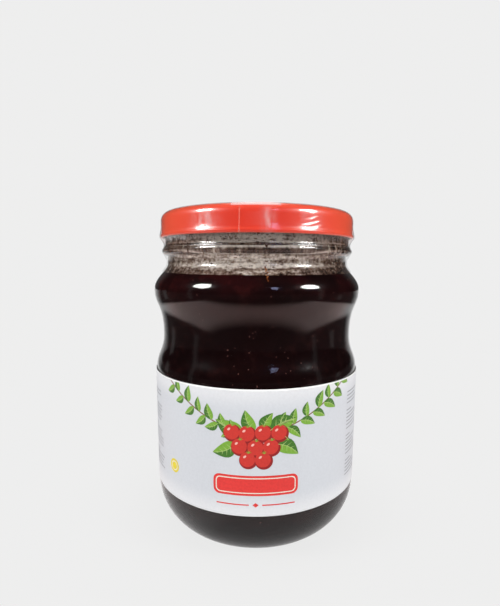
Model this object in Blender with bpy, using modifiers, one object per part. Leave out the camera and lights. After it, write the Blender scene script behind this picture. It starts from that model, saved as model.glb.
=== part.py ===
"""A large jar of strawberry jam, shut with a twist-off lid.

The pieces are turned about the Z axis: the glass jar, the jam up to its level, the painted metal lid,
the paper label round the body, and the clear shrink band over lid and neck.
Units are metres, +Z is up, and the origin is the middle of the base, on the table.
"""

import math

import bpy
from mathutils import Vector

MM = 0.001
SEGMENTS = 40
GAP = 0.3 * MM

# The jar's outer form: straight body, waist, shoulder, neck, transfer bead and finish.
BODY_RADIUS = 56.0 * MM
WAIST_RADIUS = 52.0 * MM
SHOULDER_RADIUS = 56.3 * MM
NECK_RADIUS = 48.8 * MM
BEAD_RADIUS = 51.4 * MM
FINISH_RADIUS = 50.0 * MM
HEEL_RADIUS = 28.0 * MM
HEEL_CENTRE_RADIUS = 28.2 * MM
HEEL_CENTRE_Z = 26.6 * MM
PANEL_TOP_Z = 91.0 * MM
WAIST_Z = 109.5 * MM
SHOULDER_Z = 133.0 * MM
NECK_BOTTOM_Z = 147.0 * MM
NECK_TOP_Z = 150.9 * MM
BEAD_Z = 153.4 * MM

# The glass itself, and the ring that it stands on.
WALL = 3.0 * MM
BORE_RADIUS = NECK_RADIUS - 3.1 * MM
RIM_ROUNDING = 1.5 * MM
MOUTH_Z = 170.2 * MM
RING_OUTER_RADIUS = HEEL_CENTRE_RADIUS + math.sqrt(HEEL_RADIUS**2 - HEEL_CENTRE_Z**2)
RING_INNER_RADIUS = RING_OUTER_RADIUS - 3.5 * MM
PUSH_UP = 3.0 * MM

# The jam reaches the start of the shoulder.
JAM_TOP_Z = 141.3 * MM
MENISCUS = 0.8 * MM
MENISCUS_REACH = 6.0 * MM

# The lid: a pressed tinplate cap with a round rim, a stepped panel and a curled lower edge.
LID_TOP_Z = 173.5 * MM
LID_BOTTOM_Z = 160.4 * MM
LID_SHEET = 0.5 * MM
SKIRT_RADIUS = 51.8 * MM
RIM_REACH = 6.4 * MM
RIM_DROP = 5.0 * MM
CURL_RADIUS = 1.15 * MM
CURL_CENTRE_RADIUS = SKIRT_RADIUS - 0.6 * MM
CURL_HEIGHT = 3.4 * MM
HEM = 0.8 * MM
PANEL_RADIUS = 41.5 * MM
PANEL_DROP = 1.3 * MM
STEP_WIDTH = 1.6 * MM
BUTTON_RADIUS = 13.0 * MM
BUTTON_DROP = 0.6 * MM
BUTTON_SLOPE = 2.0 * MM
SEAL_INNER_RADIUS = 43.9 * MM
SEAL_OUTER_RADIUS = 50.6 * MM

# The label wraps the straight body, and the band runs from the lid's top to the shoulder.
LABEL_BOTTOM_Z = 28.5 * MM
LABEL_TOP_Z = 90.3 * MM
LABEL_PAPER = 0.3 * MM
BAND_FILM = 0.3 * MM
BAND_TOP_RADIUS = 44.5 * MM
BAND_BOTTOM_Z = 142.6 * MM

# How the film hangs below the lid, as (distance beyond a radius, height above a level).
BAND_UNDER_LID = ((-0.1 * MM, 4.3 * MM), (-0.4 * MM, 2.6 * MM))
BAND_OVER_BEAD = ((0.3 * MM, 0.6 * MM), (0.3 * MM, -0.6 * MM))
BAND_ROUND_NECK = ((1.9 * MM, 4.2 * MM), (0.8 * MM, 2.1 * MM), (0.6 * MM, 0.0), (1.2 * MM, -2.2 * MM))
BAND_FOOT = 2.9 * MM


def sweep(start, end, steps):
    """Evenly spaced values from start to end, both included."""
    return [start + (end - start) * i / steps for i in range(steps + 1)]


def ellipse(centre, reach, rise, angles):
    """Points of an ellipse about centre, as (radius, height)."""
    return [
        (centre[0] + reach * math.cos(a), centre[1] + rise * math.sin(a)) for a in angles
    ]


def s_curve(start, end, lead, follow, steps):
    """A vertical-ended S from start to end, whose ends keep upright for lead and follow."""
    direction = -1.0 if start[1] > end[1] else 1.0
    hold = (start[0], start[1] + direction * lead)
    reach = (end[0], end[1] - direction * follow)
    points = []
    for t in sweep(0.0, 1.0, steps):
        weights = ((1 - t) ** 3, 3 * t * (1 - t) ** 2, 3 * t * t * (1 - t), t**3)
        corners = (start, hold, reach, end)
        points.append(
            tuple(sum(w * c[axis] for w, c in zip(weights, corners)) for axis in (0, 1))
        )
    return points


def offset(points, distance):
    """The same line moved to its right by distance, which is inwards where the line runs down."""
    moved = []
    for i, point in enumerate(points):
        before = Vector(points[max(i - 1, 0)])
        after = Vector(points[min(i + 1, len(points) - 1)])
        along = (after - before).normalized()
        moved.append((point[0] + along.y * distance, point[1] - along.x * distance))
    return moved


def body_wall():
    """The outer wall from the foot of the neck down to the ring that the jar stands on."""
    neck = (NECK_RADIUS, NECK_BOTTOM_Z)
    shoulder = (SHOULDER_RADIUS, SHOULDER_Z)
    waist = (WAIST_RADIUS, WAIST_Z)
    panel = (BODY_RADIUS, PANEL_TOP_Z)
    heel_centre = (HEEL_CENTRE_RADIUS, HEEL_CENTRE_Z)
    heel_end = -math.asin(HEEL_CENTRE_Z / HEEL_RADIUS)
    return (
        s_curve(neck, shoulder, 3.9 * MM, 6.6 * MM, 7)
        + s_curve(shoulder, waist, 8.4 * MM, 15.8 * MM, 7)[1:]
        + s_curve(waist, panel, 9.5 * MM, 7.0 * MM, 6)[1:]
        + ellipse(heel_centre, HEEL_RADIUS, HEEL_RADIUS, sweep(0.0, heel_end, 7))
    )


def finish_wall():
    """The outer wall from the mouth's rim down to the foot of the neck, with the transfer bead."""
    rim_centre = (FINISH_RADIUS - RIM_ROUNDING, MOUTH_Z - RIM_ROUNDING)
    rim = ellipse(rim_centre, RIM_ROUNDING, RIM_ROUNDING, sweep(math.pi / 2, 0.0, 2))
    bead_half = BEAD_Z - NECK_TOP_Z
    bead_reach = BEAD_RADIUS - NECK_RADIUS
    bead_bottom = ellipse(
        (NECK_RADIUS, BEAD_Z), bead_reach, bead_half, sweep(math.radians(38), -math.pi / 2, 5)
    )
    return rim + [(FINISH_RADIUS, BEAD_Z + bead_half)] + bead_bottom


def push_up_z(radius):
    """Height of the base's shallow dome under the jar."""
    return PUSH_UP * (1 - (radius / RING_INNER_RADIUS) ** 2)


def glass_inside():
    """The inner wall from the mouth down to the middle of the floor."""
    wall = offset(body_wall(), WALL)
    bore = [(BORE_RADIUS, MOUTH_Z - RIM_ROUNDING)]
    bore += [(BORE_RADIUS, NECK_TOP_Z), (BORE_RADIUS, NECK_BOTTOM_Z)]
    floor = [
        (radius, WALL + push_up_z(radius)) for radius in sweep(RING_INNER_RADIUS, 0.0, 3)
    ]
    return bore + wall[1:] + floor


def jar_profile():
    inner = glass_inside()
    rim_inner = [(BORE_RADIUS + RIM_ROUNDING, MOUTH_Z)]
    under = [(radius, push_up_z(radius)) for radius in sweep(RING_INNER_RADIUS, 0.0, 3)]
    return inner[::-1] + rim_inner + finish_wall() + body_wall()[1:] + under


def jam_profile():
    """The jam fills the glass to its level, with a low meniscus where it wets the wall."""
    inner = glass_inside()
    fill = [p for p in inner if p[1] < JAM_TOP_Z]
    above = inner[len(inner) - len(fill) - 1]
    share = (JAM_TOP_Z - fill[0][1]) / (above[1] - fill[0][1])
    wet_radius = fill[0][0] + share * (above[0] - fill[0][0]) - GAP
    side = offset(fill, GAP)
    side[-1] = (0.0, side[-1][1])
    surface = [
        (0.0, JAM_TOP_Z - MENISCUS),
        (wet_radius - MENISCUS_REACH, JAM_TOP_Z - MENISCUS),
        (wet_radius - MENISCUS_REACH / 3, JAM_TOP_Z - MENISCUS / 2),
        (wet_radius, JAM_TOP_Z),
    ]
    return surface + side


def lid_outside():
    """The lid's painted side from the middle of its top to the bottom of the curl."""
    panel_z = LID_TOP_Z - PANEL_DROP
    rim_centre = (SKIRT_RADIUS - RIM_REACH, LID_TOP_Z - RIM_DROP)
    curl_centre = (CURL_CENTRE_RADIUS, LID_BOTTOM_Z + CURL_RADIUS)
    return (
        [(0.0, panel_z - BUTTON_DROP), (BUTTON_RADIUS - BUTTON_SLOPE, panel_z - BUTTON_DROP)]
        + [(BUTTON_RADIUS, panel_z), (PANEL_RADIUS, panel_z)]
        + [(PANEL_RADIUS + STEP_WIDTH, LID_TOP_Z)]
        + ellipse(rim_centre, RIM_REACH, RIM_DROP, sweep(math.pi / 2, 0.0, 4))
        + [(SKIRT_RADIUS, LID_BOTTOM_Z + CURL_HEIGHT)]
        + ellipse(curl_centre, CURL_RADIUS, CURL_RADIUS, sweep(math.radians(50), -math.pi / 2, 4))
    )


def lid_profile():
    """The lid as a sheet with its ring of sealing compound: outside, then back along the inside."""
    panel_z = LID_TOP_Z - PANEL_DROP - LID_SHEET
    seal_z = MOUTH_Z + GAP
    inner_skirt = SKIRT_RADIUS - LID_SHEET
    inside = [
        (inner_skirt - HEM, LID_BOTTOM_Z + CURL_RADIUS - LID_SHEET),
        (inner_skirt - HEM, LID_BOTTOM_Z + 2 * CURL_RADIUS - GAP),
        (inner_skirt, LID_BOTTOM_Z + CURL_HEIGHT - GAP),
        (inner_skirt, LID_TOP_Z - RIM_DROP),
        (SEAL_OUTER_RADIUS, seal_z),
        (SEAL_INNER_RADIUS, seal_z),
        (PANEL_RADIUS + STEP_WIDTH, panel_z),
        (BUTTON_RADIUS + LID_SHEET, panel_z),
        (BUTTON_RADIUS + LID_SHEET - BUTTON_SLOPE, panel_z - BUTTON_DROP),
        (0.0, panel_z - BUTTON_DROP),
    ]
    return lid_outside() + inside


def band_profile():
    """The shrink band's inner face, from the lid's top over rim, curl and bead to the shoulder."""
    rim_centre = (SKIRT_RADIUS - RIM_REACH, LID_TOP_Z - RIM_DROP)
    rim = ellipse(
        rim_centre, RIM_REACH + GAP, RIM_DROP + GAP, sweep(math.pi / 2, 0.0, 4)
    )
    skirt_foot = (SKIRT_RADIUS + GAP, LID_BOTTOM_Z + CURL_HEIGHT)
    curl_reach = CURL_CENTRE_RADIUS + CURL_RADIUS + GAP
    curl_top_z = LID_BOTTOM_Z + 2 * CURL_RADIUS - GAP
    curl = [(curl_reach, curl_top_z), (curl_reach, LID_BOTTOM_Z + CURL_RADIUS / 2)]
    under_lid = [(BEAD_RADIUS + out, BEAD_Z + up) for out, up in BAND_UNDER_LID]
    over_bead = [(BEAD_RADIUS + out, BEAD_Z + up) for out, up in BAND_OVER_BEAD]
    neck = [(NECK_RADIUS + out, NECK_BOTTOM_Z + up) for out, up in BAND_ROUND_NECK]
    foot = (NECK_RADIUS + BAND_FOOT, BAND_BOTTOM_Z)
    top = (BAND_TOP_RADIUS, LID_TOP_Z + GAP)
    return [top] + rim + [skirt_foot] + curl + under_lid + over_bead + neck + [foot]


def new_material(name, colour, roughness, metallic=0.0, alpha=1.0):
    material = bpy.data.materials.new(name)
    material.use_nodes = True
    shader = material.node_tree.nodes["Principled BSDF"]
    shader.inputs["Base Color"].default_value = (*colour, 1.0)
    shader.inputs["Roughness"].default_value = roughness
    shader.inputs["Metallic"].default_value = metallic
    shader.inputs["Alpha"].default_value = alpha
    material.diffuse_color = (*colour, alpha)
    return material


def turned(name, profile, material, collection):
    """An object turned about Z from (radius, height) points that run down its outer side."""
    mesh = bpy.data.meshes.new(name)
    edges = [(i, i + 1) for i in range(len(profile) - 1)]
    mesh.from_pydata([(radius, 0.0, height) for radius, height in profile], edges, [])
    mesh.materials.append(material)
    obj = bpy.data.objects.new(name, mesh)
    collection.objects.link(obj)
    screw = obj.modifiers.new("Turn", "SCREW")
    screw.steps = SEGMENTS
    screw.render_steps = SEGMENTS
    screw.use_merge_vertices = True
    screw.merge_threshold = 0.00001
    screw.use_smooth_shade = True
    return obj


def thickened(obj, thickness):
    """Gives a turned sheet its thickness, outwards from its inner face."""
    solidify = obj.modifiers.new("Thickness", "SOLIDIFY")
    solidify.thickness = thickness
    solidify.offset = 1.0
    return obj


def build():
    for obj in list(bpy.data.objects):
        bpy.data.objects.remove(obj)
    jar_of_jam = bpy.data.collections.new("jar_of_jam")
    bpy.context.scene.collection.children.link(jar_of_jam)
    glass = new_material("clear_glass", (0.86, 0.90, 0.88), 0.04, alpha=0.3)
    jam = new_material("strawberry_jam", (0.055, 0.006, 0.008), 0.2)
    lid = new_material("red_enamel", (0.76, 0.06, 0.035), 0.25, metallic=0.1)
    paper = new_material("label_paper", (0.78, 0.80, 0.83), 0.45)
    film = new_material("clear_film", (0.9, 0.9, 0.9), 0.15, alpha=0.2)

    turned("jar", jar_profile(), glass, jar_of_jam)
    turned("jam", jam_profile(), jam, jar_of_jam)
    turned("lid", lid_profile(), lid, jar_of_jam)
    label_radius = BODY_RADIUS + GAP
    label_line = [(label_radius, LABEL_TOP_Z), (label_radius, LABEL_BOTTOM_Z)]
    thickened(turned("label", label_line, paper, jar_of_jam), LABEL_PAPER)
    thickened(turned("shrink_band", band_profile(), film, jar_of_jam), BAND_FILM)


build()
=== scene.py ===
from math import asin, atan2, copysign, cos, degrees, exp, pi, radians, sin, tan

import bmesh
import bpy
import numpy as np
from mathutils import Matrix, Vector, noise


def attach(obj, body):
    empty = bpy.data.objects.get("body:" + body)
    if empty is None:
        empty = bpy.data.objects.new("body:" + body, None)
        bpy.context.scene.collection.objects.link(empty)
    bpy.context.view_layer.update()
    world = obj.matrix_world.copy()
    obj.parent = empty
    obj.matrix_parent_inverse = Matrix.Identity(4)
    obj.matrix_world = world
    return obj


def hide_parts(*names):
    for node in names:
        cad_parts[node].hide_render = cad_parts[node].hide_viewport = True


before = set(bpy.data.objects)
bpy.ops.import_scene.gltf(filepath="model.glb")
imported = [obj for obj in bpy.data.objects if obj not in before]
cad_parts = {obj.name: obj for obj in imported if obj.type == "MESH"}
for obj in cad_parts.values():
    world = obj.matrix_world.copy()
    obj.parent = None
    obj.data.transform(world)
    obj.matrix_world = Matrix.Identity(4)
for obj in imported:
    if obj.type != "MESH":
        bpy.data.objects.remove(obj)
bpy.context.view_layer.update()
mm = 0.001


# Small helpers for outlines, meshes and nodes.
def sweep(start, end, steps):
    return [start + (end - start) * i / steps for i in range(steps + 1)]


def ellipseArc(centre, reach, rise, angles, fullness=1.0):  # below 1 the corner is squarer
    line = []
    for a in angles:
        across, up = (copysign(abs(c) ** fullness, c) for c in (cos(a), sin(a)))
        line.append((centre[0] + reach * across, centre[1] + rise * up))
    return line


def sCurve(start, end, lead, follow, steps):
    side = -1.0 if start[1] > end[1] else 1.0
    corners = (start, (start[0], start[1] + side * lead), (end[0], end[1] - side * follow), end)
    line = []
    for t in sweep(0.0, 1.0, steps):
        weights = ((1 - t) ** 3, 3 * t * (1 - t) ** 2, 3 * t * t * (1 - t), t**3)
        line.append(tuple(sum(w * c[k] for w, c in zip(weights, corners)) for k in (0, 1)))
    return line


def offsetLine(line, distance):  # to the right of the way it runs: inwards where it runs down
    moved = []
    for i, point in enumerate(line):
        along = (Vector(line[min(i + 1, len(line) - 1)]) - Vector(line[max(i - 1, 0)])).normalized()
        moved.append((point[0] + along.y * distance, point[1] - along.x * distance))
    return moved


def turnsOf(count):
    return [2 * pi * k / count for k in range(count)]


def neighbours(count):  # each place on a ring with the next one
    return [(k, (k + 1) % count) for k in range(count)]


def linked(name, data):
    made = bpy.data.objects.new(name, data)
    bpy.context.scene.collection.objects.link(made)
    return made


def showMesh(name, mesh, materials, slots=None):
    for material in materials:
        mesh.materials.append(material)
    if slots is not None:
        mesh.polygons.foreach_set("material_index", slots)
    mesh.polygons.foreach_set("use_smooth", [True] * len(mesh.polygons))
    mesh.update()
    piece = linked(name, mesh)
    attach(piece, "root")
    return piece


def addPiece(name, points, faces, materials, slots=None):
    mesh = bpy.data.meshes.new(name)
    mesh.from_pydata(points, [], faces)
    return showMesh(name, mesh, materials, slots)


def aroundAxis(radius, angle, height):
    return (radius * sin(angle), -radius * cos(angle), height)


def turnedPiece(name, line, materials, turns=144, slotOf=None, reshape=None):
    # line holds (radius, height) down the outer side; reshape may move each point by its angle
    points, rings = [], []
    for radius, height in line:
        if radius < 1e-6:
            rings.append([len(points)] * turns)
            points.append((0.0, 0.0, height))
            continue
        rings.append(list(range(len(points), len(points) + turns)))
        for angle in turnsOf(turns):
            r, h = reshape(angle, radius, height) if reshape else (radius, height)
            points.append(aroundAxis(r, angle, h))
    faces, slots = [], []
    for i, (upper, lower) in enumerate(zip(rings, rings[1:])):
        for k, n in neighbours(turns):
            corners = list(dict.fromkeys((upper[k], lower[k], lower[n], upper[n])))
            if len(corners) > 2:
                faces.append(corners)
                slots.append(slotOf(i) if slotOf else 0)
    return addPiece(name, points, faces, materials, slots)


def newMaterial(name):  # a material, its nodes and the place of each point on the object
    material = bpy.data.materials.new(name)
    material.use_nodes = True
    tree = material.node_tree
    tree.nodes.clear()
    return material, tree, addNode(tree, "TexCoord").outputs["Object"]


def addNode(tree, kind, sockets=None, **settings):
    made = tree.nodes.new("ShaderNode" + kind)
    for key, value in settings.items():
        setattr(made, key, value)
    for key, value in (sockets or {}).items():
        entry = made.inputs[key]
        if isinstance(value, bpy.types.NodeSocket):
            tree.links.new(value, entry)
        else:
            entry.default_value = (*value, 1.0) if entry.type == "RGBA" else value
    return made


def outputOf(tree, kind, sockets=None, **settings):
    return addNode(tree, kind, sockets, **settings).outputs[0]


# The helpers from here on find the node tree from the sockets they are given.
def treeOf(*values):
    return next(value.id_data for value in values if isinstance(value, bpy.types.NodeSocket))


def partsOf(vector):
    return addNode(treeOf(vector), "SeparateXYZ", {0: vector}).outputs


def maths(operation, first, second=0.0):
    return outputOf(treeOf(first, second), "Math", {0: first, 1: second}, operation=operation)


def times(first, *others):
    for other in others:
        first = maths("MULTIPLY", first, other)
    return first


def plus(first, *others):
    for other in others:
        first = maths("ADD", first, other)
    return first


def minus(first, second):
    return maths("SUBTRACT", first, second)


def fade(value, start, end, first=0.0, last=1.0, smooth=False):  # from first to last, and flat beyond
    sockets = {"Value": value, "From Min": start, "From Max": end, "To Min": first, "To Max": last}
    kind = "SMOOTHSTEP" if smooth else "LINEAR"
    return outputOf(treeOf(value), "MapRange", sockets, interpolation_type=kind)


def noiseAt(where, scale, detail=3.0, roughness=0.5, stretch=None):
    if stretch:
        where = outputOf(treeOf(where), "Mapping", {"Vector": where, "Scale": stretch})
    values = {"Vector": where, "Scale": scale, "Detail": detail, "Roughness": roughness}
    return addNode(treeOf(where), "TexNoise", values).outputs["Fac"]


def rampOf(factor, stops):
    made = addNode(treeOf(factor), "ValToRGB", {"Fac": factor})
    while len(made.color_ramp.elements) < len(stops):
        made.color_ramp.elements.new(0.5)
    for element, (place, colour) in zip(made.color_ramp.elements, stops):
        element.position = place
        element.color = (*colour, 1.0)
    return made.outputs["Color"]


def mixColour(factor, first, second, blend="MIX"):
    tree, sockets = treeOf(factor, first, second), {0: factor, 6: first, 7: second}
    return addNode(tree, "Mix", sockets, data_type="RGBA", blend_type=blend).outputs[2]


def bumpOf(height, strength, distance):
    sockets = {"Height": height, "Strength": strength, "Distance": distance}
    return outputOf(treeOf(height), "Bump", sockets)


def mixShader(share, first, second):
    return outputOf(treeOf(first), "MixShader", {0: share, 1: first, 2: second})


def finishMaterial(tree, surface):
    addNode(tree, "OutputMaterial", {"Surface": surface})


def solidOf(tree, colour, roughness, others=None):
    values = {"Base Color": colour, "Roughness": roughness, **(others or {})}
    return outputOf(tree, "BsdfPrincipled", values)


def finishSolid(tree, *looks):
    finishMaterial(tree, solidOf(tree, *looks))


def lampsPass(surface):  # lamps shine through clear pieces without bending
    ray = addNode(treeOf(surface), "LightPath").outputs["Is Shadow Ray"]
    clear = outputOf(treeOf(surface), "BsdfTransparent", {"Color": (0.92, 0.92, 0.92)})
    return mixShader(ray, surface, clear)


# The jar's outline, the same one as the solid's.
jarLook = {
    "bodyRadius": 56.0 * mm,
    "waistRadius": 52.0 * mm,
    "shoulderRadius": 56.3 * mm,
    "neckRadius": 48.8 * mm,
    "finishRadius": 50.0 * mm,
    "boreRadius": 45.7 * mm,
    "wall": 3.0 * mm,
    "ringInner": 33.44 * mm,
    "pushUp": 3.0 * mm,
    "mouthHeight": 170.2 * mm,
    "tint": (0.93, 0.96, 0.95),
    "bendsLight": 1.5,
    "roughness": 0.11,
    "waves": (38.0, 0.08),  # scale and depth
}


def bodyLine():
    neck, shoulder = (jarLook["neckRadius"], 147.0 * mm), (jarLook["shoulderRadius"], 133.0 * mm)
    waist, panel = (jarLook["waistRadius"], 109.5 * mm), (jarLook["bodyRadius"], 91.0 * mm)
    heelEnd = -asin(26.6 / 28.0)
    return (
        sCurve(neck, shoulder, 3.9 * mm, 6.6 * mm, 22)
        + sCurve(shoulder, waist, 8.4 * mm, 15.8 * mm, 22)[1:]
        + sCurve(waist, panel, 9.5 * mm, 7.0 * mm, 20)[1:]
        + ellipseArc((28.2 * mm, 26.6 * mm), 28.0 * mm, 28.0 * mm, sweep(0.0, heelEnd, 22))
    )


def finishLine():
    rim = ellipseArc((48.5 * mm, 168.7 * mm), 1.5 * mm, 1.5 * mm, sweep(pi / 2, 0.0, 6))
    bead = ellipseArc((48.8 * mm, 153.4 * mm), 2.6 * mm, 2.5 * mm, sweep(0.66, -pi / 2, 12))
    wall = [(jarLook["finishRadius"], h * mm) for h in (168.0, 162.0, 157.2, 156.7)]
    return rim + wall + [(jarLook["finishRadius"] + 0.06 * mm, 156.3 * mm)] + bead


def pushUpAt(radius):
    return jarLook["pushUp"] * (1 - (radius / jarLook["ringInner"]) ** 2)


def insideLine():
    wall = offsetLine(bodyLine(), jarLook["wall"])
    bore = [(jarLook["boreRadius"], h * mm) for h in (168.7, 162.0, 156.0, 151.0, 147.4)]
    floor = [(r, jarLook["wall"] + pushUpAt(r)) for r in sweep(jarLook["ringInner"], 0.0, 8)]
    return bore + wall[1:] + floor


def makeGlass():
    material, tree, where = newMaterial("jarGlass")
    waveScale, waveDepth = jarLook["waves"]
    finishMaterial(tree, lampsPass(solidOf(tree, jarLook["tint"], jarLook["roughness"], {
        "IOR": jarLook["bendsLight"],
        "Transmission Weight": 1.0,
        "Normal": bumpOf(noiseAt(where, waveScale, 2.0), waveDepth, 0.0008),
    })))
    under = [(r, pushUpAt(r)) for r in sweep(jarLook["ringInner"], 0.0, 8)]
    rimInner = [(jarLook["boreRadius"] + 1.5 * mm, jarLook["mouthHeight"])]
    line = insideLine()[::-1] + rimInner + finishLine() + bodyLine()[1:] + under
    piece = turnedPiece("glassJar", line, [material])
    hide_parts("jar")


# The jam: nearly black in the mass and drawn redder near its top, which is painted light, with pips along
# the glass.
jamLook = {
    "level": 140.6 * mm,
    "meniscus": 0.8 * mm,
    "intoWall": 0.25 * mm,
    "deepColour": (0.0066, 0.0023, 0.0024),
    "redColour": (0.020, 0.0030, 0.0034),
    "litRedFrom": (0.122, 0.1415),
    "lumpScale": 140.0,
    "cloudScale": 42.0,
    "pulp": ((0.52, (1.0, 1.0, 1.0)), (0.72, (2.2, 1.9, 1.7))),
    "pips": 460,
    "pipHeights": (6 * mm, 140.5 * mm),
    "pipLength": (0.5 * mm, 1.1 * mm),
    "pipTones": ((0.35, (0.035, 0.008, 0.007)), (0.65, (0.15, 0.068, 0.06))),
}


def innerRadiusAt(height):
    heights, radii = zip(*sorted((h, r) for r, h in insideLine() if h > 8 * mm))
    return float(np.interp(height, heights, radii))


def jamShader(name, shine, relief):
    material, tree, where = newMaterial(name)
    lumps = noiseAt(where, jamLook["lumpScale"], 5.0, 0.62)
    # painted light: the jam turns redder towards its top surface
    nearTop = fade(partsOf(where)[2], *jamLook["litRedFrom"], smooth=True)
    patches = fade(noiseAt(where, jamLook["cloudScale"]), 0.42, 0.68)
    share = times(patches, plus(times(nearTop, 0.9), 0.08))
    mass = mixColour(share, jamLook["deepColour"], jamLook["redColour"])
    pulp = rampOf(lumps, jamLook["pulp"])
    sockets = {"Specular IOR Level": shine, "Normal": bumpOf(lumps, relief, 0.0006)}
    finishSolid(tree, mixColour(1.0, mass, pulp, "MULTIPLY"), 0.12, sockets)
    return material


def makeJam():
    againstGlass = jamShader("strawberryJam", 0.0, 0.03)
    wetTop = jamShader("wetJamTop", 0.6, 0.5)
    inner = [p for p in insideLine() if p[1] < jamLook["level"]]
    side = offsetLine(inner, -jamLook["intoWall"])
    side[-1] = (0.0, side[-1][1])
    wet = innerRadiusAt(jamLook["level"]) + jamLook["intoWall"]
    low = jamLook["level"] - jamLook["meniscus"]
    top = [(0.0, low), (15 * mm, low), (30 * mm, low), (wet - 4.5 * mm, low)]
    top += [(wet - 2.0 * mm, low + 0.25 * mm), (wet - 0.8 * mm, low + 0.55 * mm), (wet, jamLook["level"])]

    def stirred(angle, radius, height):  # a spooned-in, slightly lumpy top
        if height < low - 0.1 * mm or radius > wet - 1.5 * mm:
            return radius, height
        spot = Vector((radius * sin(angle), radius * cos(angle), 0.0)) * 90.0
        return radius, height + 0.5 * mm * (noise.noise(spot) - 0.5)

    piece = turnedPiece("jamFill", top + side, [againstGlass, wetTop],
                        slotOf=lambda i: 1 if i < len(top) - 1 else 0, reshape=stirred)
    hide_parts("jam")


def makePips():  # pale pips and shreds caught between jam and glass
    material, tree, where = newMaterial("jamPips")
    tone = rampOf(noiseAt(where, 400.0), jamLook["pipTones"])
    finishSolid(tree, tone, 0.5, {"Specular IOR Level": 0.0})
    rng = np.random.default_rng(11)
    points, faces = [], []
    sides = 6
    for _ in range(jamLook["pips"]):
        height = rng.uniform(*jamLook["pipHeights"])
        angle, spin = rng.uniform(0, 2 * pi), rng.uniform(0, pi)
        length = rng.uniform(*jamLook["pipLength"]) / 2
        radius = innerRadiusAt(height) + jamLook["intoWall"]
        out = Vector(aroundAxis(1.0, angle, 0.0))
        around = Vector((cos(angle), sin(angle), 0.0))
        long = around * cos(spin) + Vector((0, 0, 1)) * sin(spin)
        wide = out.cross(long)
        centre = out * radius + Vector((0, 0, height))
        first = len(points)
        points.append(centre - long * length)
        for along, girth in ((-0.5, 0.45), (0.25, 0.5)):
            for turn in turnsOf(sides):
                ring = (wide * cos(turn) + out * sin(turn) * 0.6) * girth * length
                points.append(centre + long * length * along + ring)
        points.append(centre + long * length)
        low, high, tip = first + 1, first + 1 + sides, first + 1 + 2 * sides
        for k, n in neighbours(sides):
            faces.append((first, low + n, low + k))
            faces.append((low + k, low + n, high + n, high + k))
            faces.append((high + k, high + n, tip))
    piece = addPiece("jamPips", points, faces, [material])


# The lid: red enamel over tinplate, with a round rim, a stepped panel and a curled edge.
lidLook = {
    "top": 173.5 * mm,
    "bottom": 160.1 * mm,
    "skirtRadius": 51.8 * mm,
    "rimReach": 6.4 * mm,
    "rimDrop": 5.0 * mm,
    "rimFullness": 0.82,
    "curl": 1.15 * mm,
    "red": (0.77, 0.036, 0.015),
    # painted sheen: a brighter, oranger red where the surface turns away from view
    "sheenRed": (1.0, 0.135, 0.062),  # where it turns away
    "roughness": 0.34,
    "lacquer": (0.72, 0.60, 0.36),
    "seal": (0.78, 0.76, 0.70),
}


def lidOutside():
    top, bottom, skirt, curl = (lidLook[key] for key in ("top", "bottom", "skirtRadius", "curl"))
    rimCentre = (skirt - lidLook["rimReach"], top - lidLook["rimDrop"])
    curlCentre = (skirt - 0.6 * mm, bottom + curl)
    panel = top - 1.3 * mm
    button = sCurve((11.0 * mm, 0.0), (13.0 * mm, 1.0), 0.5, 0.5, 5)
    button = [(r, panel - 0.6 * mm * (1 - h)) for r, h in button]
    step = [(41.0 * mm, panel), (41.6 * mm, panel + 0.12 * mm), (42.4 * mm, top - 0.6 * mm)]
    step += [(42.9 * mm, top - 0.12 * mm), (43.6 * mm, top)]
    rim = ellipseArc(rimCentre, lidLook["rimReach"], lidLook["rimDrop"],
                     sweep(pi / 2, 0.0, 18), lidLook["rimFullness"])
    skirtLine = [(skirt, top - 7.4 * mm), (skirt + 0.02 * mm, bottom + 4.6 * mm)]
    skirtLine += [(skirt + 0.1 * mm, bottom + 3.2 * mm)]
    roll = ellipseArc(curlCentre, curl, curl, sweep(radians(55), -pi / 2, 9))
    return [(0.0, panel - 0.6 * mm)] + button + step + rim + skirtLine + roll


def lidInside():
    top, bottom, inner = lidLook["top"], lidLook["bottom"], lidLook["skirtRadius"] - 0.5 * mm
    panel, seal = top - 1.8 * mm, jarLook["mouthHeight"] + 0.3 * mm
    curl = [(inner - 0.8 * mm, bottom + h * mm) for h in (0.6, 2.0)]
    skirt = [(inner, bottom + 3.0 * mm), (inner, top - lidLook["rimDrop"])]
    flat = [(50.6 * mm, seal), (43.9 * mm, seal), (43.1 * mm, panel), (13.4 * mm, panel)]
    return curl + skirt + flat + [(11.4 * mm, panel - 0.6 * mm), (0.0, panel - 0.6 * mm)]


def makeLid():
    enamel, tree, where = newMaterial("redEnamel")
    cloud = noiseAt(where, 60.0)
    colour = mixColour(cloud, lidLook["red"], tuple(c * 0.9 for c in lidLook["red"]))
    # painted sheen towards the lid's outline
    facing = addNode(tree, "LayerWeight", {"Blend": 0.5}).outputs["Facing"]
    finishSolid(tree, mixColour(facing, colour, lidLook["sheenRed"]), lidLook["roughness"], {
        "Coat Weight": 0.4,
        "Coat Roughness": 0.12,
        "Normal": bumpOf(noiseAt(where, 900.0, 2.0), 0.05, 0.0001),
    })
    lacquer, tree, where = newMaterial("lidLacquer")
    tone = mixColour(noiseAt(where, 200.0), lidLook["lacquer"], lidLook["seal"])
    finishSolid(tree, tone, 0.3, {"Metallic": 0.3})
    outside, inside = lidOutside(), lidInside()
    piece = turnedPiece("twistLid", outside + inside, [enamel, lacquer],
                        slotOf=lambda i: 0 if i < len(outside) - 1 else 1)
    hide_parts("lid")


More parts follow.
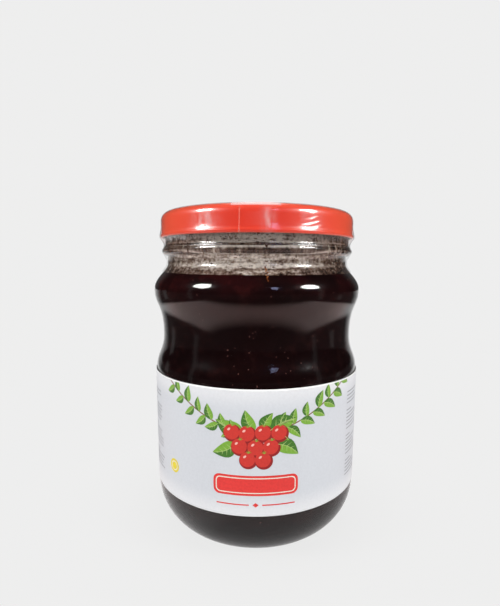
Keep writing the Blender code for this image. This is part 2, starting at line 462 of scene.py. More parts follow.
# The clear shrink band over the lid and neck: one thin sheet with real wrinkles and a welded seam.
bandLook = {
    # in millimetres: how far out from the lid's skirt, or the radius on the neck, and the height
    "overSkirt": ((0.0, 167.0), (0.05, 165.6), (0.17, 164.5), (0.37, 163.4), (0.60, 162.4), (0.80, 161.6)),
    "neckLine": ((52.98, 160.8), (52.9, 160.2), (52.4, 159.5), (51.7, 158.6), (51.1, 157.5),
                 (50.85, 156.7), (50.92, 155.9), (51.1, 155.1), (51.28, 154.6), (51.72, 154.1),
                 (51.9, 153.5), (51.88, 152.9), (51.6, 152.1), (50.9, 151.0), (50.2, 150.0),
                 (49.65, 149.0), (49.42, 148.1), (49.5, 147.3), (49.66, 146.5), (49.87, 145.8),
                 (50.12, 145.2), (50.5, 144.6), (51.1, 143.8), (51.95, 142.6)),
    "turns": 720,
    "ringStep": 0.38 * mm,
    "seamAngle": radians(-8.6),
    "seamWidth": 0.4 * mm,
    "seamShare": (0.03, 0.26),
    "neckFrom": (0.1615, 0.1595),
    "underBead": (0.1534, 0.1524),
    "roughness": (0.17, 0.25),  # over the lid and on the neck
    "slack": (0.40, 0.45, 0.03),  # more on the neck, more still below the bead, and over the lid
    "rippleScale": 560.0,
    # a pale strip along the front of the rim: painted reflection of the long light behind the jar, over
    # its real reflection
    "paintedRimReflection": (-0.65, 12.65, 171.8, 0.34),  # middle angle, half angle, lowest height, share
    # painted highlights, as milky patches over the lid where the lamps and the window glint: angle,
    # height, half angle, half height, share
    "paintedHighlights": ((-27.0, 166.6, 5.6, 4.4, 0.36), (5.6, 166.0, 2.9, 6.4, 0.24), (28.0, 166.2, 5.5, 4.2, 0.22),
             (-52.0, 158.8, 13.0, 1.2, 0.40)),
    "shine": 0.052,
    # colour of the painted highlights and of the painted rim reflection
    "paintedGlare": (0.95, 0.92, 0.92),
    "weld": (0.95, 0.80, 0.66),
    # crumpled film over the lid: angle, height, half angle, half height, depth, slant, pitch, phase, stray
    "creases": (
        (7.5, 166.2, 3.2, 5.5, 0.010, 70.0, 1.8, 0.0, 5.0),
        (29.5, 166.4, 5.6, 3.2, 0.125, 13.0, 2.2, 0.6, 1.2),
        (-27.0, 167.0, 5.0, 3.0, 0.022, 85.0, 1.6, 0.0, 5.0),
        (-75.0, 165.0, 9.0, 6.0, 0.035, 80.0, 1.6, 0.0, 5.0),
        (74.0, 165.0, 8.0, 6.0, 0.035, 84.0, 1.6, 0.0, 5.0),
        (118.0, 166.0, 6.0, 5.0, 0.060, 40.0, 1.6, 0.0, 5.0),
        (165.0, 165.0, 9.0, 4.0, 0.060, -30.0, 1.6, 0.0, 5.0),
        (-140.0, 166.0, 7.0, 5.0, 0.060, 60.0, 1.6, 0.0, 5.0),
    ),
}


def bandLine():
    top, skirt = lidLook["top"], lidLook["skirtRadius"]
    gap = 0.3 * mm
    rimCentre = (skirt - lidLook["rimReach"], top - lidLook["rimDrop"])
    reach, rise = lidLook["rimReach"] + gap, lidLook["rimDrop"] + gap
    line = [(44.5 * mm, top + gap)]
    line += ellipseArc(rimCentre, reach, rise, sweep(pi / 2, 0.0, 18), lidLook["rimFullness"])
    line += [(skirt + gap + out * mm, h * mm) for out, h in bandLook["overSkirt"]]
    return line + [(radius * mm, h * mm) for radius, h in bandLook["neckLine"]]


def evenlySpaced(line, step):
    line = np.array(line)
    along = np.concatenate([[0.0], np.cumsum(np.hypot(*np.diff(line, axis=0).T))])
    places = np.linspace(0.0, along[-1], int(along[-1] / step) + 1)
    return np.column_stack([np.interp(places, along, line[:, k]) for k in (0, 1)]).tolist()


def wrinkle(angle, height):  # how far the film stands off its even line
    turn, high = degrees(angle) % 360.0, height / mm
    way = Vector((sin(angle), cos(angle)))

    def rough(across, up, start=0.0):
        return noise.noise(Vector((way.x * across, way.y * across, high * up + start)))

    crumple, fine = rough(17.0, 0.55), rough(42.0, 0.9, 7.0)
    if high > 161.0:
        depth = 0.004 * crumple
        for number, crease in enumerate(bandLook["creases"]):
            centre, level, halfTurn, halfHeight, deep, slant, pitch, phase, strayBy = crease
            off = (turn - centre + 180.0) % 360.0 - 180.0
            near = exp(-((off / halfTurn) ** 2) - ((high - level) / halfHeight) ** 2)
            if near < 0.01:
                continue
            across, up, lean = radians(off) * 52.0, high - level, radians(slant)
            along = across * cos(lean) + up * sin(lean)
            over = up * cos(lean) - across * sin(lean)
            stray = noise.noise(Vector((along * 0.22, over * 0.5, number * 9.3)))
            fold = sin(2 * pi * over / pitch + phase + strayBy * stray)
            fold += 0.2 * strayBy * noise.noise(Vector((along * 0.5, over * 1.6, number * 9.3 + 4.0)))
            depth += deep * near * fold
        return depth * mm
    lengthwise, upright = rough(7.0, 0.9, 3.0), rough(44.0, 0.12)
    hatch = sin(angle) ** 2
    if high > 153.0:
        return (0.05 * lengthwise + 0.025 * fine + 0.05 * hatch * upright) * mm
    return (0.06 * lengthwise + 0.05 * fine + 0.13 * hatch * upright + 0.04 * crumple) * mm


def makeBand():
    material, tree, where = newMaterial("shrinkFilm")
    east, south, height = partsOf(where)
    neck = fade(height, *bandLook["neckFrom"])  # 0 over the lid, 1 on the neck
    lower = fade(height, *bandLook["underBead"])
    neckSlack, lowerSlack, lidSlack = bandLook["slack"]
    slack = plus(times(neck, neckSlack), times(lower, lowerSlack), lidSlack)
    ripples = times(noiseAt(where, bandLook["rippleScale"], 3.0, 0.6), slack)
    bump = bumpOf(ripples, 0.8, 0.0004)
    facing = addNode(tree, "LayerWeight", {"Blend": 0.5, "Normal": bump}).outputs["Facing"]
    wet = minus(1.0, times(lower, 0.6))
    rise = times(maths("POWER", facing, 5.0), 0.6)
    share = times(plus(rise, bandLook["shine"]), wet)  # the same from either side of the film
    clear = outputOf(tree, "BsdfTransparent", {"Color": (0.985, 0.985, 0.985)})
    rough = fade(neck, 0.0, 1.0, *bandLook["roughness"])
    film = mixShader(share, clear, outputOf(tree, "BsdfGlossy", {"Roughness": rough, "Normal": bump}))
    turn = maths("ARCTAN2", east, times(south, -1.0))
    # painted highlights: milky patches where the lamps glint on the crumpled film
    paintedGlare = 0.0
    for angle, level, halfTurn, halfHeight, amount in bandLook["paintedHighlights"]:
        offTurn = maths("DIVIDE", minus(turn, radians(angle)), radians(halfTurn))
        offHeight = maths("DIVIDE", minus(height, level * mm), halfHeight * mm)
        off = plus(maths("POWER", offTurn, 2.0), maths("POWER", offHeight, 4.0))
        paintedGlare = plus(paintedGlare, times(maths("EXPONENT", times(off, -1.0)), amount))
    strokes = noiseAt(where, 300.0, 3.0, 0.65, (1.0, 1.0, 0.4))
    paintedGlare = times(paintedGlare, fade(strokes, 0.40, 0.66, 0.08, 1.0))
    # painted reflection: a pale strip along the rim's front
    middle, half, lowest, amount = bandLook["paintedRimReflection"]
    soft = 0.35
    offTurn = maths("ABSOLUTE", minus(turn, radians(middle)))
    strip = fade(offTurn, radians(half + soft), radians(half - soft))
    strip = times(strip, fade(height, lowest * mm, (lowest + soft) * mm, 0.0, amount))
    weldMilkAndGlare = outputOf(tree, "BsdfDiffuse", {"Color": bandLook["paintedGlare"]})
    finishMaterial(tree, mixShader(maths("MAXIMUM", paintedGlare, strip), film, weldMilkAndGlare))
    line = evenlySpaced(bandLine(), bandLook["ringStep"])
    piece = turnedPiece("shrinkFilm", line, [material], turns=bandLook["turns"],
                        reshape=lambda a, r, h: (r + wrinkle(a, h), h))
    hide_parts("shrink_band")

    weld, tree, where = newMaterial("filmWeld")
    share = fade(noiseAt(where, 300.0, 2.0), 0.3, 0.7, *bandLook["seamShare"])
    weldMilkAndGlare = solidOf(tree, bandLook["weld"], 0.3)
    finishMaterial(tree, mixShader(share, outputOf(tree, "BsdfTransparent"), weldMilkAndGlare))
    points, faces = [], []
    half = bandLook["seamWidth"] / 2
    for radius, height in line:
        for side in (-half, 0.0, half):
            angle = bandLook["seamAngle"] + side / radius
            points.append(aroundAxis(radius + wrinkle(angle, height) + 0.08 * mm, angle, height))
    for i in range(len(line) - 1):
        for a in (3 * i, 3 * i + 1):
            faces.append((a, a + 3, a + 4, a + 1))
    seam = addPiece("filmSeam", points, faces, [weld])


# Mist and dried jam on the inside of the neck. Its paleness by height is painted light and shade: bright
# lines where the glass bead gathers light, dark bands beside them, and paler up under the lid where the
# lid shades it.
mistLook = {
    "bottom": 139.9 * mm,
    "top": 168.5 * mm,
    "intoWall": 0.15 * mm,
    "tones": ((0.0, (0.030, 0.016, 0.012)), (0.28, (0.13, 0.076, 0.056)), (0.55, (0.36, 0.270, 0.222)),
              (1.0, (0.88, 0.785, 0.715))),
    "brown": (0.86, 0.62, 0.55),
    # painted light and shade: how pale the mist is drawn at each height, in millimetres
    "rings": ((140.0, 0.44), (143.4, 0.58), (144.1, 0.80), (144.8, 1.18), (145.7, 1.12), (147.0, 0.90),
              (147.6, 0.72), (148.1, 0.66), (148.9, 0.80), (149.9, 0.82), (150.6, 0.76), (151.4, 0.68),
              (152.5, 0.64), (153.0, 0.46), (153.12, 0.16), (153.45, 0.22), (153.6, 0.40), (153.73, 1.50),
              (153.86, 0.95), (154.0, 0.10), (154.6, 0.12), (155.3, 0.30), (155.9, 1.52), (156.6, 1.22),
              (157.3, 0.98), (158.6, 1.12), (161.0, 1.12)),
    "magnified": (152.9, 154.0, 3.75),  # the bead enlarges what is behind it
    "speckleScale": 700.0,
    "streakScale": 420.0,
    "waver": 0.4 * mm,
    "waverScale": 110.0,
    "evenTone": 0.36,  # what the rings fade to at the sides
    # painted shade
    "paintedSideShade": (0.16, 0.27),  # towards both sides, and more towards the right
    "dimmerBelow": (0.1545, 0.1525),
    "contrastFrom": (0.1555, 0.1570),
    "contrast": (2.7, 4.4),
    "brownAside": (0.020, 0.042),
    "brownAbove": (0.1525, 0.1550),
    "cover": (0.75, 0.98),
    # dried jam: name, scale, roughness, tones
    "driedJam": (
        ("driedJam", 260.0, 0.6, ((0.38, (0.030, 0.014, 0.010)), (0.50, (0.16, 0.075, 0.042)),
                                  (0.60, (0.55, 0.46, 0.37)))),
        ("amberJam", 700.0, 0.4, ((0.35, (0.07, 0.012, 0.006)), (0.62, (0.50, 0.17, 0.05)))),
    ),
    "splashes": 1500,
    "splashHeights": (140.7 * mm, 160.5 * mm),
    "drip": (5.2, 144.6 * mm, 138.2 * mm),
    "splashRadius": (0.16 * mm, 0.5 * mm),
}


def mistMaterial():
    material, tree, where = newMaterial("neckMist")
    east, south, height = partsOf(where)
    start, end, gain = mistLook["magnified"]
    stretch = (end - start) * (gain - 1)
    drawnAt = plus(height, fade(height, start * mm, end * mm, 0.0, stretch * mm))
    where = outputOf(tree, "CombineXYZ", {0: east, 1: south, 2: drawnAt})
    speckle = noiseAt(where, mistLook["speckleScale"], 4.0, 0.7)
    upright, level = (noiseAt(where, mistLook["streakScale"], 3.0, 0.6, way)
                      for way in ((1.0, 1.0, 0.25), (0.3, 0.3, 1.3)))
    sideways = maths("POWER", maths("DIVIDE", east, jarLook["boreRadius"]), 2.0)
    streaks = outputOf(tree, "Mix", {"Factor": sideways, "A": level, "B": upright})
    grain = plus(times(speckle, 0.6), times(streaks, 0.7))
    wander = minus(noiseAt(where, mistLook["waverScale"], 2.0), 0.5)
    high = plus(drawnAt, times(wander, 2 * mistLook["waver"]))
    # painted light and shade: the mist's paleness by height
    heights = [(h + min(max(h - start, 0.0), end - start) * (gain - 1)) * mm for h, _ in mistLook["rings"]]
    stops = [((h - heights[0]) / (heights[-1] - heights[0]), (pale,) * 3)
             for h, (_, pale) in zip(heights, mistLook["rings"])]
    ring = rampOf(fade(high, heights[0], heights[-1]), stops)
    calmer = minus(1.0, times(sideways, 0.7))
    evenTone = mistLook["evenTone"]
    ring = plus(times(minus(ring, evenTone), calmer), evenTone)
    # painted shade: darker towards the sides and more to the right
    sideLoss, rightLoss = mistLook["paintedSideShade"]
    rightward = times(maths("MAXIMUM", east, 0.0), rightLoss / jarLook["boreRadius"])
    paintedShade = plus(times(sideways, sideLoss), rightward)
    ring = minus(ring, times(paintedShade, fade(height, *mistLook["dimmerBelow"])))
    contrast = fade(height, *mistLook["contrastFrom"], *mistLook["contrast"])
    share = plus(ring, times(minus(grain, 0.65), contrast))
    tone = rampOf(share, mistLook["tones"])
    aside = fade(maths("ABSOLUTE", east), *mistLook["brownAside"])
    aside = times(aside, fade(height, *mistLook["brownAbove"]))
    browner = plus(times(aside, wander, 2.0), aside)
    tone = mixColour(browner, tone, mistLook["brown"], "MULTIPLY")
    scatter, glow = (outputOf(tree, kind, {"Color": tone}) for kind in ("BsdfDiffuse", "BsdfTranslucent"))
    cover = fade(speckle, 0.3, 0.6, *mistLook["cover"])
    both = mixShader(0.3, scatter, glow)
    finishMaterial(tree, mixShader(cover, outputOf(tree, "BsdfTransparent"), both))
    return material


def makeMist():
    outward = mistLook["intoWall"]
    inner = [(r + outward, h) for r, h in insideLine() if mistLook["bottom"] < h < mistLook["top"]]
    piece = turnedPiece("neckMist", evenlySpaced(inner, 0.8 * mm), [mistMaterial()])

    finishes = []
    for name, scale, roughness, stops in mistLook["driedJam"]:
        dried, tree, where = newMaterial(name)
        tint = rampOf(noiseAt(where, scale, 2.0), stops)
        finishSolid(tree, tint, roughness, {"Specular IOR Level": 0.0})
        finishes.append(dried)
    rng = np.random.default_rng(5)
    points, faces, slots = [], [], []
    sides = 7
    spots = []
    for _ in range(mistLook["splashes"]):
        height = rng.uniform(*mistLook["splashHeights"])
        angle, size = rng.uniform(0, 2 * pi), rng.uniform(*mistLook["splashRadius"])
        long = rng.uniform(1.0, 2.2)
        wide, tall = (1.0, long) if abs(sin(angle)) > rng.uniform(0.2, 0.9) else (long, 0.8)
        spots.append((angle, height, size, wide, tall, 0))
    turnedTo, high, low = mistLook["drip"]
    for height in sweep(high, low, 11):
        angle = radians(turnedTo + rng.uniform(-0.8, 0.8))
        spots.append((angle, height, rng.uniform(0.22, 0.5) * mm, 1.0, 1.2, 1))
    for angle, height, size, wide, tall, slot in spots:
        wall = innerRadiusAt(height) + outward
        wall += slot * (jamLook["intoWall"] - outward + 0.03 * mm)
        slots += [slot] * 2 * sides
        first = len(points)
        for share, rise in ((1.0, -0.05 * mm), (0.7, 0.04 * mm), (0.0, 0.07 * mm)):
            for turn in turnsOf(sides) if share else (0.0,):
                a = angle + size * share * wide * cos(turn) / wall
                points.append(aroundAxis(wall + rise, a, height + size * share * tall * sin(turn)))
        for k, n in neighbours(sides):
            faces.append((first + k, first + n, first + sides + n, first + sides + k))
            faces.append((first + sides + k, first + sides + n, first + 2 * sides))
    splashes = addPiece("neckSplashes", points, faces, finishes, slots)


# The paper label round the straight body, lapped at the back.
labelLook = {
    "radius": 56.42 * mm,
    "paperThickness": 0.14 * mm,
    "bottom": 28.5 * mm,
    "top": 90.3 * mm,
    "lapAt": 171.0,
    "lap": 9.0,
    "paper": (0.95, 0.95, 0.95),
    "ground": (0.620, 0.643, 0.683),
    "paleGround": (0.725, 0.732, 0.755),
}


def coatedPaper(name, colour, spread=0.04, paleEdge=None):
    material, tree, where = newMaterial(name)
    fibre = noiseAt(where, 900.0, 4.0, 0.6)
    cloud = noiseAt(where, 28.0)
    tone = mixColour(cloud, colour, tuple(c * (1.0 - 2 * spread) for c in colour))
    if paleEdge:  # the ground fades to near white at the label's upper and lower edges
        low, high = labelLook["bottom"], labelLook["top"]
        off, reach = maths("ABSOLUTE", minus(partsOf(where)[2], (low + high) / 2)), (high - low) / 2
        tone = mixColour(fade(off, reach * 0.62, reach, smooth=True), tone, paleEdge)
    dots = fade(fibre, 0.3, 0.7, 1.0 - spread, 1.0 + spread)
    sockets = {"Specular IOR Level": 0.35, "Normal": bumpOf(fibre, 0.1, 0.0001)}
    finishSolid(tree, mixColour(1.0, tone, dots, "MULTIPLY"), 0.45, sockets)
    return material


def labelPlace(across, height, lift):  # across and height in millimetres from the front's lower middle
    radius = labelLook["radius"] + labelLook["paperThickness"] + lift
    return aroundAxis(radius, across * mm / radius, labelLook["bottom"] + height * mm)


def makeLabel():
    paper = coatedPaper("labelPaper", labelLook["paper"])
    printed = coatedPaper("lapGround", labelLook["ground"], 0.03, labelLook["paleGround"])
    thick, lap, lead = labelLook["paperThickness"], labelLook["lap"], 3.0
    start, low, high = labelLook["lapAt"] - 360.0, labelLook["bottom"], labelLook["top"]
    steps, rows = 180, 10
    points, faces, slots = [], [], []
    for i in range(steps + 1):
        turn = start + (360.0 + lap) * i / steps
        overlap = max(0.0, turn - (start + 360.0 - lead)) / (lap + lead)
        inner = labelLook["radius"] + min(1.0, 3 * overlap) * (thick + 0.03 * mm)
        ring = [(inner, low), (inner, high)] + [(inner + thick, h) for h in sweep(high, low, rows)]
        points += [aroundAxis(r, radians(turn), h) for r, h in ring]
    count = rows + 3
    for i in range(steps):
        a, b = i * count, (i + 1) * count
        for k, n in neighbours(count):
            faces.append((a + k, b + k, b + n, a + n))
            slots.append(1 if i > steps - 8 and 2 <= k < count - 1 else 0)  # the lap's outside is printed
    faces.append(tuple(range(count)))
    faces.append(tuple(steps * count + k for k in range(count))[::-1])
    piece = addPiece("paperLabel", points, faces, [paper, printed], slots + [0, 0])
    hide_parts("label")


# The label's print: fields of ink, drawn flat in millimetres and then bent round the jar.
printLook = {
    "leafDark": (0.055, 0.185, 0.022),
    "leafLight": (0.20, 0.42, 0.045),
    "vein": (0.42, 0.58, 0.18),
    "stem": (0.22, 0.10, 0.035),
    "berry": (0.62, 0.035, 0.025),
    "berryShade": (0.30, 0.012, 0.012),
    "berryShine": (0.90, 0.48, 0.42),
    "plaque": (0.76, 0.040, 0.035),
    "cream": (0.85, 0.80, 0.70),
    "yellow": (0.80, 0.66, 0.03),
    "grey": (0.30, 0.31, 0.34),
    "layerStep": 0.022 * mm,
    "bendStep": 1.6,
}


def discShape(centre, radius, squash=1.0, tilt=0.0, sides=28):
    shape = []
    for turn in turnsOf(sides):
        x, y = radius * cos(turn), radius * squash * sin(turn)
        shape.append((centre[0] + x * cos(tilt) - y * sin(tilt),
                      centre[1] + x * sin(tilt) + y * cos(tilt)))
    return shape


def barShape(centre, width, height, corner=0.0):
    corner = min(corner, height / 2, width / 2)
    shape = []
    for k, (sx, sy) in enumerate(((1, 1), (-1, 1), (-1, -1), (1, -1))):
        x, y = centre[0] + sx * (width / 2 - corner), centre[1] + sy * (height / 2 - corner)
        turns = sweep(k * pi / 2, (k + 1) * pi / 2, 6) if corner else (0.0,)
        shape += [(x + corner * cos(turn), y + corner * sin(turn)) for turn in turns]
    return shape


def leafShapes(foot, length, width, lean):
    along, across = (cos(lean), sin(lean)), (-sin(lean), cos(lean))

    def place(u, v):
        bow = 0.10 * length * sin(pi * u)
        return (foot[0] + along[0] * u * length + across[0] * (v + bow),
                foot[1] + along[1] * u * length + across[1] * (v + bow))

    def edge(u):
        return width / 2 * sin(pi * u**0.75) ** 0.9

    steps = sweep(0.0, 1.0, 10)
    middle = [place(u, 0.0) for u in steps[-2:0:-1]]
    upper, lower = ([place(u, side * edge(u)) for u in steps] + middle for side in (1, -1))
    rib = [place(u, 0.13) for u in steps[:-1]] + [place(1.0, 0.0)]
    rib += [place(u, -0.13) for u in steps[-2::-1]]
    shapes = [("leafDark", 2, upper), ("leafLight", 2, lower), ("vein", 3, rib)]
    for u in (0.25, 0.42, 0.59, 0.76):
        for side in (1, -1):
            reach = min(u + 0.14, 0.97)
            tip = 0.8 * side * edge(reach)
            shapes.append(("vein", 3, [place(u, 0.0), place(reach - 0.015, tip), place(u + 0.03, 0.0)]))
    return shapes


def berryShapes(centre, radius):
    x, y = centre
    shapes = [("berryShade", 3, discShape(centre, radius)),
              ("berry", 4, discShape((x - 0.1 * radius, y + 0.12 * radius), 0.86 * radius)),
              ("berryShine", 5, discShape((x - 0.38 * radius, y + 0.42 * radius), 0.2 * radius,
                                          0.6, 0.7, 14))]
    for k in range(5):
        lean = radians(90 + 36 * (k - 2))
        foot, top = 0.25 * cos(lean + 1.57), y + 0.86 * radius
        tip = (x + 1.9 * cos(lean), top + 1.5 * sin(lean))
        shapes.append(("leafLight", 6, [(x + foot, top), tip, (x - foot, y + 0.80 * radius)]))
    return shapes


def stripShapes(ink, level, line, width):  # a line of ink, as short four-cornered stretches
    edges = list(zip(offsetLine(line, -width / 2), offsetLine(line, width / 2)))
    return [(ink, level, [a[1], b[1], b[0], a[0]]) for a, b in zip(edges, edges[1:])]


def frontDesign():
    shapes = [("ground", 0, barShape((0.0, 30.9), 354.0, 61.2))]

    def swagHeight(across):
        return 40.5 + 19.5 * (abs(across) / 46.0) ** 1.6

    rng = np.random.default_rng(3)
    shapes += stripShapes("stem", 1, [(s, swagHeight(s)) for s in sweep(-50.0, 50.0, 60)], 0.6)
    for side in (-1, 1):
        for k in range(13):
            across = side * (8.0 + 3.3 * k)
            slope = swagHeight(across + side * 0.5) - swagHeight(across)
            forward = atan2(slope * 2, side)
            turn = (1 if k % 2 else -1) * radians(rng.uniform(38, 66))
            length = rng.uniform(6.4, 9.4)
            shapes += leafShapes((across, swagHeight(across)), length, rng.uniform(0.48, 0.58) * length,
                                 forward + turn)
    for x, y, length, lean in ((-6.0, 42.0, 14.0, 160), (6.0, 42.0, 14.5, 22), (-9.0, 36.0, 13.0, 205),
                               (9.0, 36.0, 13.0, -28), (-1.0, 42.0, 11.0, 112), (3.0, 42.0, 10.0, 62)):
        shapes += leafShapes((x, y), length, 0.58 * length, radians(lean))
    for row, (count, y) in enumerate(((4, 40.6), (3, 34.2), (2, 27.8))):  # a hanging bunch of berries
        for k in range(count):
            x = (k - (count - 1) / 2) * 7.2
            shapes += berryShapes((x + rng.uniform(-0.4, 0.4), y + rng.uniform(-0.5, 0.5)), 4.3)
    for level, (ink, *size) in enumerate((("plaque", 41.0, 10.0, 3.0), ("cream", 38.6, 7.8, 2.2),
                                          ("plaque", 37.6, 6.8, 1.8))):
        shapes.append((ink, 2 + level, barShape((0.0, 15.4), *size)))
    for s in (-1, 1):
        shapes += stripShapes("plaque", 2, [(s * x, 5.8) for x in sweep(3.2, 19.0, 8)][::s], 0.6)
    shapes.append(("plaque", 2, discShape((0.0, 5.8), 1.5, 0.75, 0.0, 4)))
    for level, (ink, radius) in enumerate((("yellow", 3.6), ("cream", 2.5), ("yellow", 2.0))):
        shapes.append((ink, 2 + level, discShape((-46.0, 17.0), radius)))
    for left, count, first in ((54.5, 24, 9.0), (-75.5, 22, 11.0), (84.5, 26, 8.0), (-107.5, 20, 18.0)):
        for row in range(count):
            if row % 7 == 5:
                continue
            width = rng.uniform(12.0, 18.5) if row % 7 != 4 else rng.uniform(5.0, 10.0)
            shapes.append(("grey", 2, barShape((left + width / 2, first + 1.95 * row), width, 0.55, 0.27)))
    return shapes


def makePrint():
    inks = [key for key, value in printLook.items() if isinstance(value, tuple)]
    materials = [coatedPaper("ink" + key[0].upper() + key[1:], printLook[key], 0.08) for key in inks]
    inks.append("ground")
    materials.append(coatedPaper("inkGround", labelLook["ground"], 0.03, labelLook["paleGround"]))
    work = bmesh.new()
    for ink, level, shape in frontDesign():
        area = sum(a[0] * b[1] - b[0] * a[1] for a, b in zip(shape, shape[1:] + shape[:1]))
        if area < 0:
            shape = shape[::-1]
        face = work.faces.new([work.verts.new((x, y, level)) for x, y in shape])
        face.material_index = inks.index(ink)
    bmesh.ops.triangulate(work, faces=[f for f in work.faces if len(f.verts) > 4])

    def cut(place, way, **settings):
        everything = work.verts[:] + work.edges[:] + work.faces[:]
        bmesh.ops.bisect_plane(work, geom=everything, plane_co=place, plane_no=way, **settings)

    cut((0, (labelLook["top"] - labelLook["bottom"]) / mm - 0.7, 0), (0, 1, 0), clear_outer=True)
    for across in np.arange(-176.0, 176.1, printLook["bendStep"]):
        cut((float(across), 0, 0), (1, 0, 0))
    for vert in work.verts:
        vert.co = labelPlace(vert.co.x, vert.co.y, (0.6 + vert.co.z) * printLook["layerStep"])
    mesh = bpy.data.meshes.new("labelPrint")
    work.to_mesh(mesh)
    work.free()
    piece = showMesh("labelPrint", mesh, materials)


# The camera stands where the photo's outline and label edges put it.
cameraLook = {
    "place": (0.0, -0.2437, 0.1448),
    "down": radians(8.38),
    "roll": 0.0052,
    "lens": 25.44,
    "shift": (-0.0107, 0.0457),
}


def makeCamera():
    data = bpy.data.cameras.new("photoCamera")
    data.lens = cameraLook["lens"]
    data.sensor_width = 36.0
    data.shift_x, data.shift_y = cameraLook["shift"]
    data.clip_start, data.clip_end = 0.01, 50.0
    camera = linked("photoCamera", data)
    aim = Matrix.Rotation(pi / 2 - cameraLook["down"], 4, "X")
    roll = Matrix.Rotation(cameraLook["roll"], 4, "Z")
    camera.matrix_world = Matrix.Translation(cameraLook["place"]) @ aim @ roll
    bpy.context.scene.camera = camera


# Two round softboxes, as their reflections on the shoulder place them, and a pale table in a dim room.
lightLook = {
    "backdrop": (0.855, 0.855, 0.853),
    "softboxes": ((-65.0, 32.5, "left"), (63.0, 31.0, "right")),
    "distance": 0.9,
    "width": 0.295,
    "fillPower": 4.3,
    "frontFill": (0.0, 8.0),
    "frontFillPower": 2.0,
    "gleamPower": 7.0,
    "window": (20.0, 31.0),
    "windowSize": (0.11, 0.20),
    "windowPower": 0.36,
    "stands": ((-71.0, 6.0, -16.0, 20.0), (67.5, 6.0, -16.0, 20.0), (-112.0, 8.0, -13.0, 1.0),
               (96.0, 8.0, -14.0, -5.0)),
    "standGlow": 0.16,
    "overheadPower": 3.0,
    # the long light behind the jar, in stretches: first and last elevation, half width, glow
    "rearStretches": ((103.0, 124.0, 0.24, 2.6), (124.0, 146.0, 0.13, 2.4), (146.0, 171.0, 0.062, 1.2)),
    "roomDark": 0.008,
    "roomBackUp": 0.10,
    "rearLean": (0.62, 0.90),  # how far a direction leans to the back where the room gets lighter
    "throughGlass": (0.16, 0.14, 0.125),
    "fill": 0.32,
}


def addLamp(name, place, target, size, power, colour, seenBy):
    data = bpy.data.lights.new(name, "AREA")
    data.shape = "RECTANGLE" if len(size) > 1 else "DISK"
    data.size, data.size_y = size[0], size[-1]
    data.energy = power
    data.color = colour
    lamp = linked(name, data)
    lamp.location = place
    lamp.rotation_euler = (Vector(target) - Vector(place)).to_track_quat("-Z", "Y").to_euler()
    lamp.visible_camera = False
    for ray in ("diffuse", "glossy", "transmission"):
        setattr(lamp, "visible_" + ray, ray in seenBy)


def makeLights():
    white = (1.0, 0.99, 0.98)
    middle = (0.0, 0.0, 0.13)
    disk, distance = (lightLook["width"],), lightLook["distance"]

    def placeAt(bearing, lift, away):
        turn, flat = radians(bearing), away * cos(radians(lift))
        return (flat * sin(turn), -flat * cos(turn), middle[2] + away * sin(radians(lift)))

    for bearing, lift, side in lightLook["softboxes"]:
        addLamp(side + "Gleam", placeAt(bearing, lift, distance), middle, disk, lightLook["gleamPower"],
                white, ("glossy", "transmission"))
        addLamp(side + "Fill", placeAt(bearing, lift, distance + 0.03), middle, disk,
                lightLook["fillPower"], white, ("diffuse",))
    for index, (bearing, across, low, high) in enumerate(lightLook["stands"]):
        away = 0.5
        bottom, top = (away * tan(radians(lift)) for lift in (low, high))
        across = 2 * away * tan(radians(across / 2))
        place = placeAt(bearing, 0.0, away)
        place = (place[0], place[1], middle[2] + (bottom + top) / 2)
        power = lightLook["standGlow"] * pi * across * (top - bottom)
        addLamp(f"stand{index}", place, (0.0, 0.0, place[2]), (across, top - bottom), power,
                white, ("glossy",))
    addLamp("window", placeAt(*lightLook["window"], distance), middle, lightLook["windowSize"],
            lightLook["windowPower"], (0.55, 0.62, 1.0), ("glossy",))
    addLamp("overhead", (0.0, -0.1, 1.3), (0.0, 0.0, 0.1), (0.9, 0.9),
            lightLook["overheadPower"], white, ("diffuse",))
    addLamp("frontFill", placeAt(*lightLook["frontFill"], distance), middle, disk,
            lightLook["frontFillPower"], white, ("diffuse",))
    lidHeight = Vector((0.0, 0.0, 0.17))
    for index, (first, last, half, glow) in enumerate(lightLook["rearStretches"]):
        ends = [lidHeight + 1.3 * Vector(aroundAxis(cos(radians(a)), 0.0, sin(radians(a))))
                for a in (first, last)]
        long = (ends[1] - ends[0]).length
        addLamp(f"rear{index}", (ends[0] + ends[1]) / 2, lidHeight, (2 * half, long),
                glow * pi * 2 * half * long, (1.0, 0.97, 0.94), ("glossy",))


def makeWorld():
    world = bpy.data.worlds.new("studioWorld")
    bpy.context.scene.world = world
    world.use_nodes = True
    tree = world.node_tree
    tree.nodes.clear()
    ray = addNode(tree, "LightPath").outputs
    aim = addNode(tree, "TexCoord").outputs["Generated"]
    back = fade(partsOf(aim)[1], *lightLook["rearLean"], smooth=True)
    room = mixColour(back, (lightLook["roomDark"],) * 3, (lightLook["roomBackUp"],) * 3)
    through = mixColour(ray["Is Transmission Ray"], room, lightLook["throughGlass"])
    lit = mixColour(ray["Is Diffuse Ray"], through, (lightLook["fill"],) * 3)
    shown = mixColour(ray["Is Camera Ray"], lit, lightLook["backdrop"])
    addNode(tree, "OutputWorld", {"Surface": outputOf(tree, "Background", {"Color": shown})})


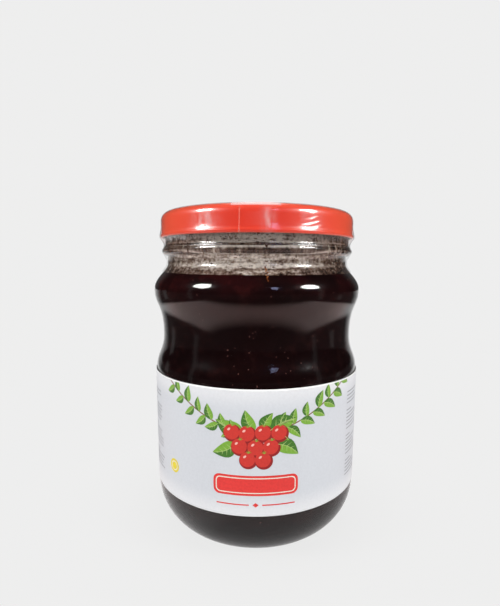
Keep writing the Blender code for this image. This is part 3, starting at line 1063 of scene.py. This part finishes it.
# The table shows itself pale, and the jar mirrors it with a front edge, two sides and a dim room beyond.
tableLook = {
    "tones": ((0.760, 0.760, 0.757), (0.770, 0.770, 0.767)),
    "shadow": 0.10,
    "front": -0.262,
    "sides": (-0.345, 0.365),
    "soft": 0.025,
    # painted shade: the table shines dimmer in reflections near the jar's foot
    "glow": (0.55, 1.1),  # at the jar's foot and further out
    "rearGlow": 0.78,
    # painted shade beside the jar, as its reflections show the table
    "beside": ((0.066, 0), (0.084, 1), (0.12, 1), (0.15, 0)),  # distance and share
    "besideLoss": 0.75,
    # painted light: brighter to the left in short reflections near the foot
    "leftGain": 0.30,
    "beyond": (0.05, 0.80),
    "nearTint": (1.0, 0.98, 0.98),
    "farTints": ((0.92, 0.60, 0.57), (1.10, 0.86, 0.83)),
}


def makeTable():
    material, tree, where = newMaterial("paleTable")
    across, depth, _ = partsOf(where)
    reach = addNode(tree, "VectorMath", {0: where}, operation="LENGTH").outputs["Value"]
    side, lean = maths("ABSOLUTE", across), maths("DIVIDE", depth, reach)
    ray = addNode(tree, "LightPath").outputs
    # as the camera sees it
    tone = mixColour(noiseAt(where, 30.0), *tableLook["tones"])
    white = outputOf(tree, "BsdfDiffuse", {"Color": tone})
    back = outputOf(tree, "Emission", {"Color": lightLook["backdrop"]})
    seen = mixShader(fade(reach, 0.03, 0.13, tableLook["shadow"], 0.0, smooth=True), back, white)
    # as the jar mirrors it, a painted reflection: bright on the table, dim beyond its front and sides,
    # grey far behind, and dimmer at the jar's foot and beside it, which is painted shade
    soft, (left, right) = tableLook["soft"], tableLook["sides"]
    offMiddle = maths("ABSOLUTE", minus(across, (left + right) / 2))
    within = fade(offMiddle, (right - left) / 2 + soft, (right - left) / 2 - soft)
    onTable = times(within, fade(depth, tableLook["front"] - soft, tableLook["front"] + 4 * soft))
    fromHigh = fade(ray["Ray Length"], 0.08, 0.12)
    lateral = fade(maths("DIVIDE", side, reach), 0.78, 0.92)
    nearby = rampOf(reach, [(place, (k, k, k)) for place, k in tableLook["beside"]])
    beside = times(lateral, nearby, tableLook["besideLoss"], fromHigh)
    leftward = fade(across, -0.028, -0.050, 0.0, tableLook["leftGain"])
    leftward = times(leftward, minus(1.0, fromHigh))
    glow = fade(reach, 0.04, 0.14, *tableLook["glow"])
    glow = times(glow, minus(1.0, beside), plus(1.0, leftward))
    glow = times(glow, fade(lean, 0.35, 0.65, 1.0, tableLook["rearGlow"]))
    behind = fade(lean, *lightLook["rearLean"], *tableLook["beyond"])
    beyond = times(behind, minus(1.0, onTable))
    strength = plus(times(glow, onTable), beyond)
    farTint = mixColour(fade(side, 0.04, 0.26), *tableLook["farTints"])
    tint = mixColour(fade(reach, 0.07, 0.16), tableLook["nearTint"], farTint)
    tint = mixColour(fade(lean, 0.30, 0.65), tint, (1.0, 1.0, 1.0))
    mirrored = outputOf(tree, "Emission", {"Color": tint, "Strength": strength})
    through = outputOf(tree, "Emission", {"Color": lightLook["throughGlass"]})
    shader = mixShader(ray["Is Glossy Ray"], seen, mirrored)
    finishMaterial(tree, mixShader(ray["Is Transmission Ray"], shader, through))
    material.cycles.emission_sampling = "NONE"
    points = [aroundAxis(5.0, turn, 0.0) for turn in turnsOf(96)]
    mesh = bpy.data.meshes.new("table")
    mesh.from_pydata(points, [], [list(range(len(points)))])
    mesh.materials.append(material)
    table = linked("table", mesh)


makeGlass()
print("stage: glass jar")
makeJam()
makePips()
print("stage: jam")
makeLid()
print("stage: lid")
makeBand()
print("stage: shrink band")
makeMist()
print("stage: mist in the neck")
makeLabel()
makePrint()
print("stage: label")
makeCamera()
makeWorld()
makeTable()
makeLights()
bpy.context.scene.view_settings.view_transform = "Standard"
print("stage: camera, table and lights")
